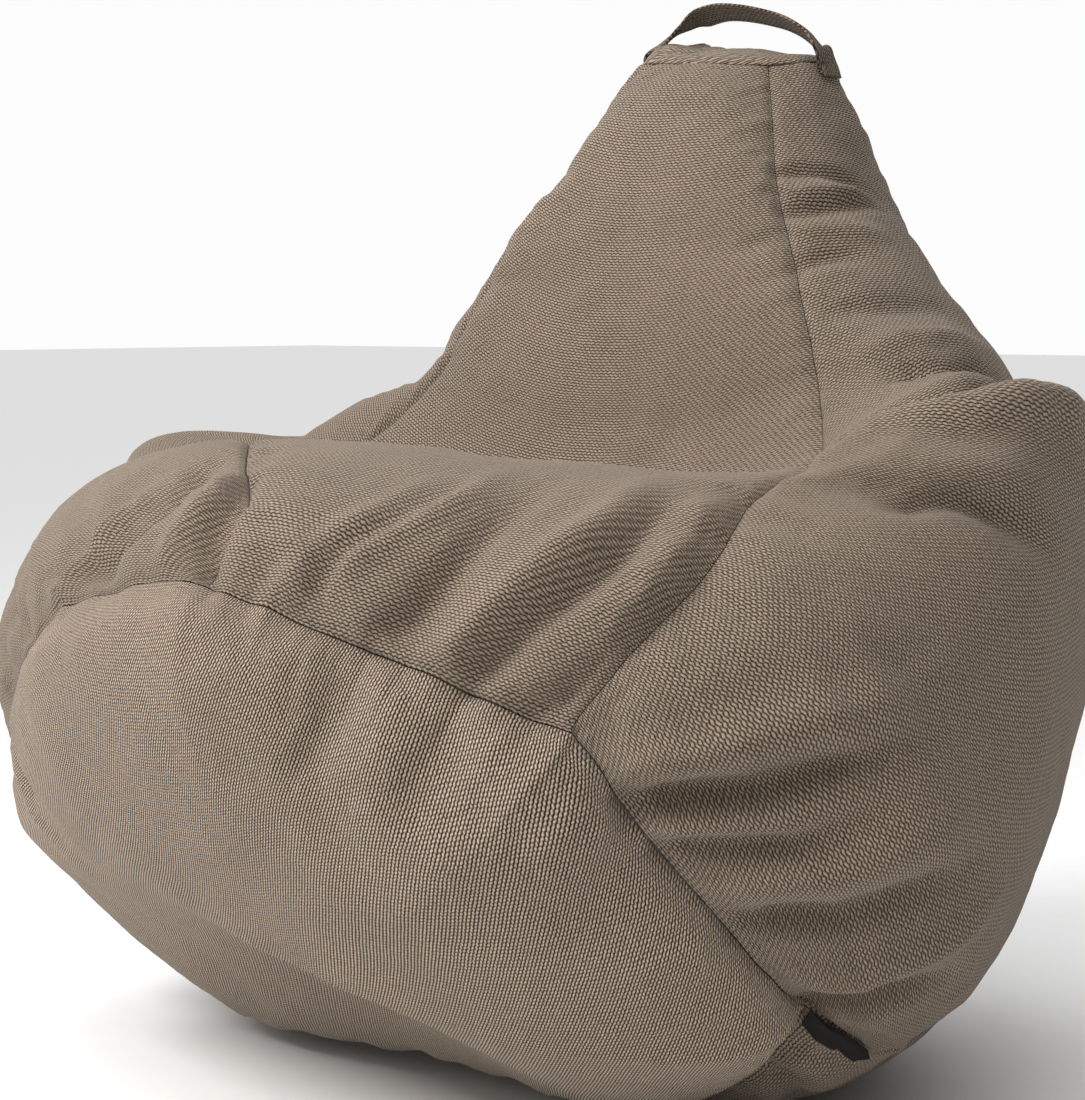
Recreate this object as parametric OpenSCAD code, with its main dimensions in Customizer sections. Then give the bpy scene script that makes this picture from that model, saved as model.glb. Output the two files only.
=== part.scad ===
// Bean bag chair: a six-gore pear bag slumped into a seat, with its carry handle,
// cover zip, inner liner and bead fill. The front faces -Y and the bag stands on Z = 0.

/* [Overall size] */
// Width across the widest part of the seat
chair_width = 1040; // [900:10:1150]
// Depth from the front of the base to the back of the bulge
chair_depth = 900; // [800:10:1000]
// Height of the top seam above the floor
chair_height = 870; // [780:10:950]

/* [Shape] */
// How squarely the rings are filled out (2 is an ellipse)
ring_fullness = 2.3; // [2:0.1:2.8]
// How far the base panel bulges out of its seam
base_bulge = 100; // [60:5:160]
// Share of the bulge that the lower half of the base loses against the floor
base_tuck = 0.5; // [0.3:0.05:0.7]
// How far the left arm has slumped below the right one
left_arm_slump = 55; // [0:5:80]
// Height of the crown of the top cap
cap_crown = 12; // [6:1:30]

/* [Cover and liner] */
// Thickness of the knitted cover
cover_thickness = 3; // [2:0.5:4]
// Thickness of the woven inner liner
liner_thickness = 1; // [0.8:0.2:1.6]
// Air gap left between the cover and the liner, where the zip tape lies
liner_gap = 6.5; // [5:0.5:8]

/* [Carry handle] */
// Width of the strap
strap_width = 26; // [18:1:35]
// Thickness of the doubled strap
strap_thickness = 4; // [3:0.5:5]
// Rise of the loop above its sewn ends
strap_rise = 38; // [30:1:60]

/* [Label] */
// Length of the woven label along the seam
label_length = 70; // [50:5:90]
// Width of the woven label
label_width = 26; // [18:1:34]

/* [Zip] */
// Width of one zip tape
tape_width = 12; // [10:1:13]
// Width of the closed coil
coil_width = 7; // [6:0.5:8]
// Length of the slider
slider_length = 13; // [11:0.5:16]
// Length of the pull tab
pull_length = 30; // [20:1:36]

/* [Mesh] */
// Rows of facets between the base seam and the top seam
body_rows = 26; // [20:2:30]
// Columns of facets across one gore
gore_cols = 6; // [4:1:7]

/* [Hidden] */

knit = "#97836f";
knit_dark = "#8a7765";
black_tape = "#1d1b1a";
zip_grey = "#5a5048";
metal = "#a8a8a8";
liner_white = "#d9d6cf";
bead_white = "#f2f1ec";

// Rings of the bag, from the base seam to the top seam. Each one holds the ring's front
// point (y, z), back point (y, z), half width, side point (y, z) and how hexagonal it is.
RINGS = [
    [-420, 455, -30, -8, 410, -165, 160, 0.80],
    [-350, 500, 8, -26, 465, -140, 185, 0.50],
    [-255, 525, 60, -35, 508, -105, 240, 0.30],
    [-170, 520, 160, -25, 520, -60, 325, 0.25],
    [-95, 480, 280, 15, 510, -10, 430, 0.20],
    [-42, 430, 390, 125, 478, 72, 532, 0.20],
    [8, 405, 440, 265, 390, 180, 548, 0.25],
    [80, 490, 447, 375, 312, 250, 598, 0.35],
    [125, 615, 432, 505, 238, 282, 660, 0.45],
    [172, 738, 398, 690, 162, 296, 748, 0.50],
    [220, 850, 345, 862, 98, 298, 860, 0.60]];
// Share of the left arm's slump that each ring takes
SLUMP = [0, 0.15, 0.4, 0.7, 1, 1, 0.8, 0.4, 0, 0, 0];
// How far each ring's sides are drawn in, as shares of the half width: the right side behind
// the sitter, and all of the left side
TUCK = [[0.05, 0.035], [0.055, 0.03], [0.055, 0.01], [0.05, 0], [0.035, 0], [0.02, 0],
    [0.005, 0], [0, 0], [0, 0], [0, 0], [0, 0]];
// The ring where seat and arms fold against the backrest
CREASE_RING = 6;
// Angles of the six gore seams round the bag at five heights, starting at the front left seam
SEAM_HEIGHTS = [0, 0.1, 0.3, 0.6, 1];
SEAM_ANGLES = [
    [5, 50, 96, 155, 215, 285],
    [4, 46, 116, 162, 215, 275],
    [-12, 40, 128, 170, 215, 262],
    [-43, 42, 132, 172, 214, 258],
    [-44, 42, 126, 166, 208, 258]];

width_scale = chair_width / 1040;
depth_scale = chair_depth / 900;
height_scale = chair_height / 870;
last_ring = len(RINGS) - 1;
crease_share = CREASE_RING / last_ring;
lower_rings = [for (i = [0:CREASE_RING]) RINGS[i]];
upper_rings = [for (i = [CREASE_RING:last_ring]) RINGS[i]];
fullness_power = 2 / ring_fullness;
ring_cols = 6 * gore_cols;
base_rows = 6;
cap_rows = 3;
// Moves the slumped shape so that the origin is under the middle of its box
centring = [8, -7, 0];
// Half of the gap between two sewn panels, as a share of the height and in millimetres
row_gap = 0.0003;
seam_gap = 0.25;
liner_out = cover_thickness + liner_gap;
liner_in = liner_out + liner_thickness;
fill_out = liner_in + 1.5;

function lerp(p, q, t) = p + (q - p) * t;
function clamp(v, low, high) = max(low, min(high, v));
function unit(v) = v / max(norm(v), 0.000001);
function ease(t) = t * t * (3 - 2 * t);
function signed_power(v, p) = sign(v) * pow(abs(v), p);

// Catmull-Rom curve through the rows of a table, with t from 0 to 1
function curve(rows, t) =
    let(n = len(rows) - 1, x = clamp(t, 0, 1) * n, i = min(floor(x), n - 1), f = x - i,
        a = rows[max(i - 1, 0)], b = rows[i], c = rows[i + 1], d = rows[min(i + 2, n)])
    0.5 * (2 * b + (c - a) * f + (2 * a - 5 * b + 4 * c - d) * f * f
        + (3 * b - a - 3 * c + d) * f * f * f);

// The same table with a sharp fold at the crease ring
function folded_curve(t) = t <= crease_share
    ? curve(lower_rings, t / crease_share)
    : curve(upper_rings, (t - crease_share) / (1 - crease_share));

// Angle round the bag of the point at gore coordinate g, where seams have whole numbers
function seam_angle(t, k) =
    lookup(t, [for (i = [0:len(SEAM_HEIGHTS) - 1])
        [SEAM_HEIGHTS[i], SEAM_ANGLES[i][k % 6] + 360 * floor(k / 6)]]);
function gore_angle(t, g) =
    let(k = floor(g))
    lerp(seam_angle(t, k + 6), seam_angle(t, k + 7), g - k);

// Point of one ring: round at the front, side and back points, flatter between the seams
function ring_point(ring, angle, across, slump, tuck) =
    let(front = [ring[0], ring[1]], back = [ring[2], ring[3]], middle = (front + back) / 2,
        side = [ring[5], ring[6]] - middle, c = cos(angle), s = sin(angle),
        flat = 1 - ring[7] * (1 - cos(30) / cos((across - 0.5) * 60)),
        reach = (c > 0 ? front - middle : middle - back) * signed_power(c, fullness_power),
        yz = middle + (reach + side * s * s) * flat,
        drawn_in = s > 0 ? tuck[0] * ease(clamp(0.25 - c, 0, 1)) : tuck[1],
        x = ring[4] * signed_power(s, fullness_power) * flat * (1 - drawn_in),
        drop = s < 0 ? left_arm_slump * slump * s * s : 0)
    [x * width_scale, yz[0] * depth_scale, (yz[1] - drop) * height_scale];

function body_point(t, g) =
    let(angle = gore_angle(t, g), across = g - floor(g),
        slump = curve([for (v = SLUMP) [v]], t)[0], tuck = curve(TUCK, t),
        away = acos(cos(angle)), sharp = 1 - ease(clamp((away - 100) / 50, 0, 1)),
        smooth_point = ring_point(curve(RINGS, t), angle, across, slump, tuck),
        folded_point = ring_point(folded_curve(t), angle, across, slump, tuck))
    lerp(smooth_point, folded_point, sharp);

function mean(points) = [for (p = points) 1] * points / len(points);
base_middle = mean([for (g = [0:0.25:5.75]) body_point(0, g)]);
cap_seam_middle = mean([for (g = [0:0.25:5.75]) body_point(1, g)]);
base_across = unit(body_point(0, 2) - body_point(0, 5));
base_down = unit(body_point(0, 3.5) - body_point(0, 0.5));
base_normal = unit(cross(base_down, base_across));
cap_normal = unit(cross(body_point(1, 2) - body_point(1, 5), body_point(1, 3.5) - body_point(1, 0.5)));

// Base panel: u runs from 0 at its middle to 1 at its seam
function base_point(u, g) =
    let(rim = body_point(0, g) - base_middle,
        low = ease(clamp(0.15 + 0.85 * (unit(rim) * base_down), 0, 1)),
        bulge = base_bulge * (1 - base_tuck * low) * pow(max(1 - pow(u, 2.4), 0), 0.62))
    base_middle + rim * pow(u, 0.8) + base_normal * bulge;
// Cap: u runs from 0 at its seam to 1 at its middle
function cap_point(u, g) =
    lerp(body_point(1, g), cap_seam_middle, u) + cap_normal * cap_crown * (1 - (1 - u) * (1 - u));

// The whole skin: h runs from -1 at the middle of the base, through 0 at the base seam and
// 1 at the top seam, to 2 at the middle of the cap. The floor flattens it.
function skin(h, g) =
    let(p = h < 0 ? base_point(1 + h, g) : h > 1 ? cap_point(h - 1, g) : body_point(h, g))
    [p[0], p[1], max(p[2], 0)] + centring;

function skin_normal(h, g) =
    let(low = max(h - 0.02, -0.99), high = min(h + 0.02, 1.99),
        up = skin(high, g) - skin(low, g),
        round = skin(h, g + 0.08) - skin(h, g - 0.08))
    unit(cross(round, up));

function skin_in(h, g, depth) = skin(h, g) - skin_normal(h, g) * depth;

// The seam that holds the zip, the zip's ends as shares of the height, and the share of the
// height over which its slot closes past each end
ZIP_SEAM = 4;
zip_low = 0.56;
zip_high = 0.78;
slot_end = 0.012;
// Rows of the mesh up the body. The cover has four more, where the zip's slot begins and ends.
body_heights = [for (i = [0:body_rows]) lerp(row_gap, 1 - row_gap, i / body_rows)];
gore_heights = concat(
    [for (h = body_heights) if (h < zip_low - slot_end) h],
    [zip_low - slot_end, zip_low],
    [for (h = body_heights) if (h > zip_low && h < zip_high) h],
    [zip_high, zip_high + slot_end],
    [for (h = body_heights) if (h > zip_high + slot_end) h]);

// Faces of a grid of points, as triangles. first is the index of the grid's first point.
function grid_faces(rows, cols, first, closed, flip) = [
    for (r = [0:rows - 2], c = [0:closed ? cols - 1 : cols - 2])
        let(a = first + r * cols + c, b = first + r * cols + (c + 1) % cols,
            d = a + cols, e = b + cols)
        each flip ? [[a, b, e], [a, e, d]] : [[a, e, b], [a, d, e]]];
// Triangles between two lists of point indices of the same length
function strip_faces(p, q) = [for (i = [0:len(p) - 2])
    each [[p[i], p[i + 1], q[i + 1]], [p[i], q[i + 1], q[i]]]];

// Open sheet of even thickness between two depths under the skin
module sheet(heights, gores, outer, inner) {
    rows = len(heights);
    cols = len(gores);
    count = rows * cols;
    points = [for (depth = [outer, inner], h = heights, g = gores)
        skin_in(h, g, depth)];
    sheet_mesh(points, rows, cols, count);
}

module sheet_mesh(points, rows, cols, count) {
    bottom = [for (c = [0:cols - 1]) c];
    top = [for (c = [0:cols - 1]) (rows - 1) * cols + c];
    left = [for (r = [0:rows - 1]) r * cols];
    right = [for (r = [0:rows - 1]) r * cols + cols - 1];
    under = function(list) [for (i = list) i + count];
    polyhedron(points, concat(
        grid_faces(rows, cols, 0, false, false),
        grid_faces(rows, cols, count, false, true),
        strip_faces(bottom, under(bottom)),
        strip_faces(under(top), top),
        strip_faces(under(left), left),
        strip_faces(right, under(right))));
}

// One gore of the cover. Both long edges stand back from the seam, further beside the zip.
module gore(k) {
    rows = len(gore_heights);
    cols = gore_cols + 1;
    points = [for (depth = [0, cover_thickness], h = gore_heights, c = [0:gore_cols])
        let(width = norm(skin(h, k + 0.999) - skin(h, k + 0.001)),
            left = (seam_gap + (k == ZIP_SEAM ? zip_slot(h, 1) : 0)) / width,
            right = (seam_gap + (k == ZIP_SEAM - 1 ? zip_slot(h, -1) : 0)) / width)
        skin_in(h, k + lerp(left, 1 - right, c / gore_cols), depth)];
    color(knit) sheet_mesh(points, rows, cols, rows * cols);
}

// Round panel with one point in the middle, at the base (side -1) or at the cap (side 1)
module round_panel(side, rows, outer, inner) {
    start = side < 0 ? -1 : 2;
    edge = side < 0 ? -2 * row_gap : 1 + 2 * row_gap;
    heights = [for (i = [1:rows]) lerp(start, edge, i / rows)];
    middle = side < 0
        ? function(depth) skin(-1, 0) - skin_normal(-0.98, 0) * depth
        : function(depth) skin(2, 0) - cap_normal * depth;
    ring = [for (depth = [outer, inner], h = heights, c = [0:ring_cols - 1])
        skin_in(h, c / gore_cols, depth)];
    count = rows * ring_cols;
    points = concat(ring, [middle(outer), middle(inner)]);
    edge_loop = [for (c = [0:ring_cols]) (rows - 1) * ring_cols + c % ring_cols];
    inner_loop = [for (i = edge_loop) i + count];
    fan = [for (c = [0:ring_cols - 1]) let(d = (c + 1) % ring_cols)
        each side < 0
            ? [[2 * count, c, d], [2 * count + 1, count + d, count + c]]
            : [[2 * count, d, c], [2 * count + 1, count + c, count + d]]];
    polyhedron(points, concat(fan,
        grid_faces(rows, ring_cols, 0, true, side > 0),
        grid_faces(rows, ring_cols, count, true, side < 0),
        side < 0 ? strip_faces(inner_loop, edge_loop) : strip_faces(edge_loop, inner_loop)));
}

// The bead fill's closed skin, at one depth
module filled_bag(depth) {
    heights = concat([for (i = [1:base_rows]) -1 + i / base_rows],
        [for (i = [1:body_rows]) i / body_rows],
        [for (i = [1:cap_rows - 1]) 1 + i / cap_rows]);
    rows = len(heights);
    ring = [for (h = heights, c = [0:ring_cols - 1]) skin_in(h, c / gore_cols, depth)];
    count = rows * ring_cols;
    last_row = count - ring_cols;
    points = concat(ring, [skin(-1, 0) - skin_normal(-0.98, 0) * depth,
        skin(2, 0) - cap_normal * depth]);
    fans = [for (c = [0:ring_cols - 1]) let(d = (c + 1) % ring_cols)
        each [[count, c, d], [count + 1, last_row + d, last_row + c]]];
    polyhedron(points, concat(fans, grid_faces(rows, ring_cols, 0, true, false)));
}

// Zip: it follows the circle through three points of the back left seam, and it is tilted
// about its own line so that it lies flat in the cover
zip_depth = 3;
slot_half = 7.5;
zip_start = skin_in(zip_low, ZIP_SEAM, zip_depth);
zip_mid = skin_in((zip_low + zip_high) / 2, ZIP_SEAM, zip_depth);
zip_end = skin_in(zip_high, ZIP_SEAM, zip_depth);
zip_u = zip_mid - zip_start;
zip_v = zip_end - zip_start;
zip_w = cross(zip_u, zip_v);
zip_axis = unit(zip_w);
zip_centre = zip_start
    + (cross(zip_w, zip_u) * (zip_v * zip_v) + cross(zip_v, zip_w) * (zip_u * zip_u))
        / (2 * (zip_w * zip_w));
zip_radius = norm(zip_start - zip_centre);
zip_out = unit(zip_start - zip_centre);
zip_along = cross(zip_axis, zip_out);
zip_sweep = acos(zip_out * unit(zip_end - zip_centre));
zip_facing = skin_normal((zip_low + zip_high) / 2, ZIP_SEAM);
zip_tilt = atan2(zip_facing * zip_axis, zip_facing * unit(zip_mid - zip_centre));
// Heights in the zip's cross section, out from the line that the seam follows
tape_thickness = 0.8;
tape_top = -4.4;
coil_top = 0.4;
// Clearance of the slider round the coil
slider_clearance = 0.35;
slider_wall = 1.1;
stop_length = 3;
slider_degrees = slider_length / zip_radius * 180 / PI;
stop_degrees = stop_length / zip_radius * 180 / PI;
slider_rest = zip_sweep - stop_degrees - slider_degrees / 2 - 0.15;
// The bridge on the slider, and the rod of the pull that turns in it
bridge_height = 2.6;
bridge_half = 4.2;
pull_height = coil_top + slider_clearance + slider_wall + bridge_height / 2;

// Half width of the slot that the cover leaves for the coil, closing at both ends
function zip_slot(h, side) =
    let(open = clamp(min(h - zip_low, zip_high - h) / slot_end + 1, 0, 1),
        place = skin(h, ZIP_SEAM) - zip_centre,
        radial = unit(place - zip_axis * (place * zip_axis)),
        across = zip_axis * cos(zip_tilt) - radial * sin(zip_tilt),
        off = (place - radial * zip_radius) * across)
    open * (slot_half + side * off);

// Children are drawn with X outwards, Y up along the zip and Z across it
module on_zip() {
    multmatrix([
        [zip_out[0], zip_along[0], zip_axis[0], zip_centre[0]],
        [zip_out[1], zip_along[1], zip_axis[1], zip_centre[1]],
        [zip_out[2], zip_along[2], zip_axis[2], zip_centre[2]],
        [0, 0, 0, 1]]) children();
}

// Children are drawn the same way, from the zip's line at the slider's place
module on_slider() {
    on_zip() rotate([0, 0, slider_rest]) translate([zip_radius, 0, 0]) rotate([0, -zip_tilt, 0])
        children();
}

// Strip along the zip from one angle to another, between two heights and two distances across
module zip_strip(from, to, inner, outer, low, high) {
    on_zip() rotate([0, 0, from]) rotate_extrude(angle = to - from, $fn = 360)
        translate([zip_radius, 0]) rotate(zip_tilt)
            translate([inner, low]) square([outer - inner, high - low]);
}

module zip_tape(side) {
    color(zip_grey) zip_strip(-stop_degrees, zip_sweep + stop_degrees,
        tape_top - tape_thickness, tape_top,
        side < 0 ? -tape_width : 0.15, side < 0 ? -0.15 : tape_width);
}

module zip_coil(side) {
    half = coil_width / 2;
    color(zip_grey) zip_strip(stop_degrees, zip_sweep - stop_degrees, tape_top, coil_top,
        side < 0 ? -half : 0.15, side < 0 ? -0.15 : half);
}

module zip_stop(from) {
    half = coil_width / 2 + 0.4;
    color(metal) zip_strip(from, from + stop_degrees - 0.02, tape_top, coil_top + 0.5, -half, half);
}

// Slider: a channel over the coil with a bridge on top that holds the pull
module zip_slider() {
    half = coil_width / 2 + slider_clearance;
    plate = coil_top + slider_clearance;
    bridge = plate + slider_wall;
    color(metal) on_slider() {
        difference() {
            translate([plate - 2.8, -slider_length / 2, -half - slider_wall])
                cube([2.8 + slider_wall, slider_length, 2 * (half + slider_wall)]);
            translate([plate - 4, -slider_length, -half]) cube([4, 2 * slider_length, 2 * half]);
        }
        for (end = [-1, 1])
            translate([bridge - 0.1, end * (bridge_half - 0.6) - 0.6, -1.2])
                cube([bridge_height + 0.1, 1.2, 2.4]);
        translate([bridge + bridge_height - 0.1, -bridge_half, -1.2])
            cube([1.1, 2 * bridge_half, 2.4]);
    }
}

// Pull: a flat tab on two arms, whose rod turns in the bridge
module zip_pull() {
    rod = 0.7;
    reach = 5.4;
    arm = 1.1;
    inside = 1.7;
    color(metal) on_slider() translate([pull_height, 0, 0]) difference() {
        union() {
            translate([0, 0, -inside - arm]) cylinder(r = rod, h = 2 * (inside + arm), $fn = 32);
            for (side = [-1, 1])
                translate([-0.6, -reach - 1, side * (inside + arm / 2) - arm / 2])
                    cube([1.2, reach + 1, arm]);
            hull() {
                translate([-0.6, -reach - 2, -inside - arm]) cube([1.2, 2, 2 * (inside + arm)]);
                translate([-0.6, -pull_length, -2.2]) cube([1.2, 2, 4.4]);
            }
        }
        translate([-2, -pull_length + 4, 0]) rotate([0, 90, 0]) cylinder(r = 1.2, h = 4, $fn = 24);
    }
}

// Carry handle: a strap whose two ends are sewn to the gores just under the cap's seam
handle_right = 1.571;
handle_left = 5.207;
end_low = 0.965;
end_high = 0.999;
right_end = skin_in(1, handle_right, -strap_thickness);
left_end = skin_in(1, handle_left, -strap_thickness);
handle_axis = unit(right_end - left_end);
handle_middle = (left_end + right_end) / 2;
handle_half = norm(right_end - left_end) / 2;
handle_back = unit(cross([0, 0, 1], handle_axis));
handle_up = cross(handle_axis, handle_back);
strap_steps = 20;
// The loop starts a little above its sewn ends
strap_start = 4;

// Point of the loop, at an angle from 0 at the left end to 180 at the right end
function strap_point(angle, out) =
    let(x = -cos(angle) * (handle_half + out),
        z = pow(sin(angle), 0.8) * (strap_rise + out) + strap_start)
    handle_middle + handle_axis * x + handle_up * z;

module handle_strap() {
    points = [for (i = [0:strap_steps])
        let(angle = lerp(3, 177, i / strap_steps),
            half = strap_width / 2 * min(1, 0.2 + 1.8 * sin(angle)),
            inner = strap_point(angle, -strap_thickness / 2),
            outer = strap_point(angle, strap_thickness / 2))
        each [inner - handle_back * half, outer - handle_back * half,
            outer + handle_back * half, inner + handle_back * half]];
    sides = [for (i = [0:strap_steps - 1], k = [0:3])
        let(a = 4 * i + k, b = 4 * i + (k + 1) % 4)
        each [[a, b, b + 4], [a, b + 4, a + 4]]];
    last = 4 * strap_steps;
    color(knit_dark) polyhedron(points, concat(sides, [[3, 2, 1], [3, 1, 0]],
        [[last, last + 1, last + 2], [last, last + 2, last + 3]]));
}

module handle_end(g) {
    width = norm(skin(1, floor(g) + 0.999) - skin(1, floor(g)));
    reach = strap_width / 2 / width;
    color(knit_dark) sheet([for (i = [0:2]) lerp(end_low, end_high, i / 2)],
        [for (i = [-2:2]) g + reach * i / 2], -strap_thickness, -0.4);
}

// Label: a woven tag on the right seam, starting at the corner of the base
label_seam = 2;
label_start = 0.004;
label_rise = label_length / 1000;
module side_label() {
    width = norm(skin(0.05, 2) - skin(0.05, 1.001));
    left = label_width * 0.3 / width;
    color(black_tape) sheet([for (i = [0:4]) label_start + label_rise * i / 4],
        [for (i = [0:3]) label_seam - left + label_width / width * i / 3], -2.6, -1.4);
}

module base_panel() { color(knit) round_panel(-1, base_rows, 0, cover_thickness); }
module top_cap() { color(knit) round_panel(1, cap_rows, 0, cover_thickness); }

// Liner: a base, a top and two halves, sewn like the cover and lying inside it
liner_cols = 3 * gore_cols;
module liner_half(first) {
    color(liner_white) sheet(body_heights,
        [for (i = [0:liner_cols]) first + lerp(0.002, 2.998, i / liner_cols)], liner_out, liner_in);
}
module liner_base() { color(liner_white) round_panel(-1, base_rows, liner_out, liner_in); }
module liner_top() { color(liner_white) round_panel(1, cap_rows, liner_out, liner_in); }

// Closing strip of the liner, between the liner and the middle of the back gore
module liner_closure() {
    low = round(0.5 * body_rows);
    high = round(0.73 * body_rows);
    color(liner_white) sheet([for (i = [low:high]) body_heights[i]],
        [for (i = [0:2]) 3.5 + (i - 1) * 0.05], liner_out - 2.2, liner_out - 1.2);
}

module bead_fill() { color(bead_white) filled_bag(fill_out); }

base_panel();
gore(0);  // front_gore
gore(1);  // front_right_gore
gore(2);  // back_right_gore
gore(3);  // back_gore
gore(4);  // back_left_gore
gore(5);  // front_left_gore
top_cap();
handle_strap();
handle_end(handle_left);  // handle_end_left
handle_end(handle_right);  // handle_end_right
side_label();
zip_tape(-1);  // zip_tape_left
zip_tape(1);  // zip_tape_right
zip_coil(-1);  // zip_coil_left
zip_coil(1);  // zip_coil_right
zip_slider();
zip_pull();
zip_stop(zip_sweep - stop_degrees + 0.02);  // zip_top_stop
zip_stop(0);  // zip_bottom_stop
liner_base();
liner_half(3.5);  // liner_left
liner_half(0.5);  // liner_right
liner_top();
liner_closure();
bead_fill();
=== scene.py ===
import math
import bpy
import numpy as np
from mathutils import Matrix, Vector
from mathutils.kdtree import KDTree


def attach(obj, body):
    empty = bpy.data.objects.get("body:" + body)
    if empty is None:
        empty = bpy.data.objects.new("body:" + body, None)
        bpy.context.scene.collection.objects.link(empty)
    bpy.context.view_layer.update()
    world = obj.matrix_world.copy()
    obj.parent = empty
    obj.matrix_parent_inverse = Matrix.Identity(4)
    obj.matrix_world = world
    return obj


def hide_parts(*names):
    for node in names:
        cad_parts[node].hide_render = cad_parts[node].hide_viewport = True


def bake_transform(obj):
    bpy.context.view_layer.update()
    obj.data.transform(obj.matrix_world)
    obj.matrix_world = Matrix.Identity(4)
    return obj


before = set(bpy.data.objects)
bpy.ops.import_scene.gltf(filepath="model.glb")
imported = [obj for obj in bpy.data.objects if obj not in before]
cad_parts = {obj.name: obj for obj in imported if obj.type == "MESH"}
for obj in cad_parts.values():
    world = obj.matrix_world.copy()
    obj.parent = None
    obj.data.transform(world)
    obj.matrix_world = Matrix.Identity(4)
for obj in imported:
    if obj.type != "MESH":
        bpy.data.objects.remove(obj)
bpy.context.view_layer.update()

MM = 0.001

# ------------------------ shape of the bag
# The same slumped shape as the CAD part, in millimetres. Each ring holds its front point
# (y, z), back point (y, z), half width, side point (y, z) and how hexagonal it is.
RINGS = np.array([
    [-420, 455, -30, -8, 410, -165, 160, 0.80],
    [-350, 500, 8, -26, 465, -140, 185, 0.50],
    [-255, 525, 60, -35, 508, -105, 240, 0.30],
    [-170, 520, 160, -25, 520, -60, 325, 0.25],
    [-95, 480, 280, 15, 510, -10, 430, 0.20],
    [-42, 430, 390, 125, 478, 72, 532, 0.20],
    [8, 405, 440, 265, 390, 180, 548, 0.25],
    [80, 490, 447, 375, 312, 250, 598, 0.35],
    [125, 615, 432, 505, 238, 282, 660, 0.45],
    [172, 738, 398, 690, 162, 296, 748, 0.50],
    [220, 850, 345, 862, 98, 298, 860, 0.60]])
SLUMP = np.array([0, 0.15, 0.4, 0.7, 1, 1, 0.8, 0.4, 0, 0, 0])[:, None]
# How far the sides are drawn in, as shares of the half width: the right one behind the sitter,
# and all of the left one
TUCK = np.array([
    [0.05, 0.035], [0.055, 0.03], [0.055, 0.01], [0.05, 0], [0.035, 0], [0.02, 0], [0.005, 0],
    [0, 0], [0, 0], [0, 0], [0, 0]])
CREASE_RING = 6
SEAM_HEIGHTS = [0, 0.1, 0.3, 0.6, 1]
SEAM_ANGLES = np.array([
    [5, 50, 96, 155, 215, 285],
    [4, 46, 116, 162, 215, 275],
    [-12, 40, 128, 170, 215, 262],
    [-43, 42, 132, 172, 214, 258],
    [-44, 42, 126, 166, 208, 258]])
RING_FULLNESS = 2.3
BASE_BULGE = 100
# Power that spaces the rows of the base panel
BASE_SPREAD = 0.8
# Share of the bulge that the lower half of the base loses
BASE_TUCK = 0.5
ARM_SLUMP = 55
CAP_CROWN = 12
CENTRING = np.array([8, -7, 0])
SEAMS = 6
# Gore seams by their whole number: the zip's seam and the label's seam
ZIP_SEAM = 4
LABEL_SEAM = 2
ZIP_LOW, ZIP_HIGH = 0.56, 0.78


def ease(t):
    t = np.clip(t, 0, 1)
    return t * t * (3 - 2 * t)


def unit(v):
    return v / np.maximum(np.linalg.norm(v, axis=-1, keepdims=True), 1e-9)


def grid(a, b):
    return np.meshgrid(a, b, indexing="ij")


def lengths(points, axis=0):
    """Length run so far along one axis of a line or a grid of points."""
    steps = np.linalg.norm(np.diff(points, axis=axis), axis=-1)
    total = np.cumsum(steps, axis=axis)
    return np.concatenate([np.zeros_like(np.take(total, [0], axis=axis)), total], axis=axis)


def evenly(line, count):
    """A line with points the same distance apart, and the length run at each."""
    run = lengths(line)
    even = np.linspace(0, run[-1], count)
    return np.stack([np.interp(even, run, line[:, k]) for k in range(3)], 1), even


def bilinear(values, row, col):
    """Reads a table of numbers or vectors between its rows and columns."""
    r = np.minimum(np.floor(row).astype(int), len(values) - 2)
    c = np.minimum(np.floor(col).astype(int), values.shape[1] - 2)
    down, right = row - r, col - c
    if values.ndim == 3:
        down, right = down[..., None], right[..., None]
    low = values[r, c] * (1 - right) + values[r, c + 1] * right
    high = values[r + 1, c] * (1 - right) + values[r + 1, c + 1] * right
    return low * (1 - down) + high * down


def closed(table):
    """A table that goes round the bag, with its first column once more at its end."""
    return np.concatenate([table, table[:, :1]], 1)


def curve(rows, t):
    """Catmull-Rom curve through the rows of a table, with t from 0 to 1."""
    n = len(rows) - 1
    x = np.clip(t, 0, 1) * n
    i = np.minimum(x.astype(int), n - 1)
    f = (x - i)[:, None]
    a, b, c, d = rows[np.maximum(i - 1, 0)], rows[i], rows[i + 1], rows[np.minimum(i + 2, n)]
    return 0.5 * (2 * b + (c - a) * f + (2 * a - 5 * b + 4 * c - d) * f * f
                  + (3 * b - a - 3 * c + d) * f ** 3)


def folded_curve(t):
    """The rings with a sharp fold at the crease ring, where the seat meets the backrest."""
    share = CREASE_RING / (len(RINGS) - 1)
    low = curve(RINGS[:CREASE_RING + 1], t / share)
    high = curve(RINGS[CREASE_RING:], (t - share) / (1 - share))
    return np.where((t <= share)[:, None], low, high)


def gore_angle(t, g):
    seams = np.stack([np.interp(t, SEAM_HEIGHTS, SEAM_ANGLES[:, k]) for k in range(SEAMS)], 1)
    seams = np.concatenate([seams, seams[:, :1] + 360], 1)
    k = np.floor(g).astype(int) % SEAMS
    row = np.arange(len(t))
    return np.radians(seams[row, k] + (seams[row, k + 1] - seams[row, k]) * (g - np.floor(g)))


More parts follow.
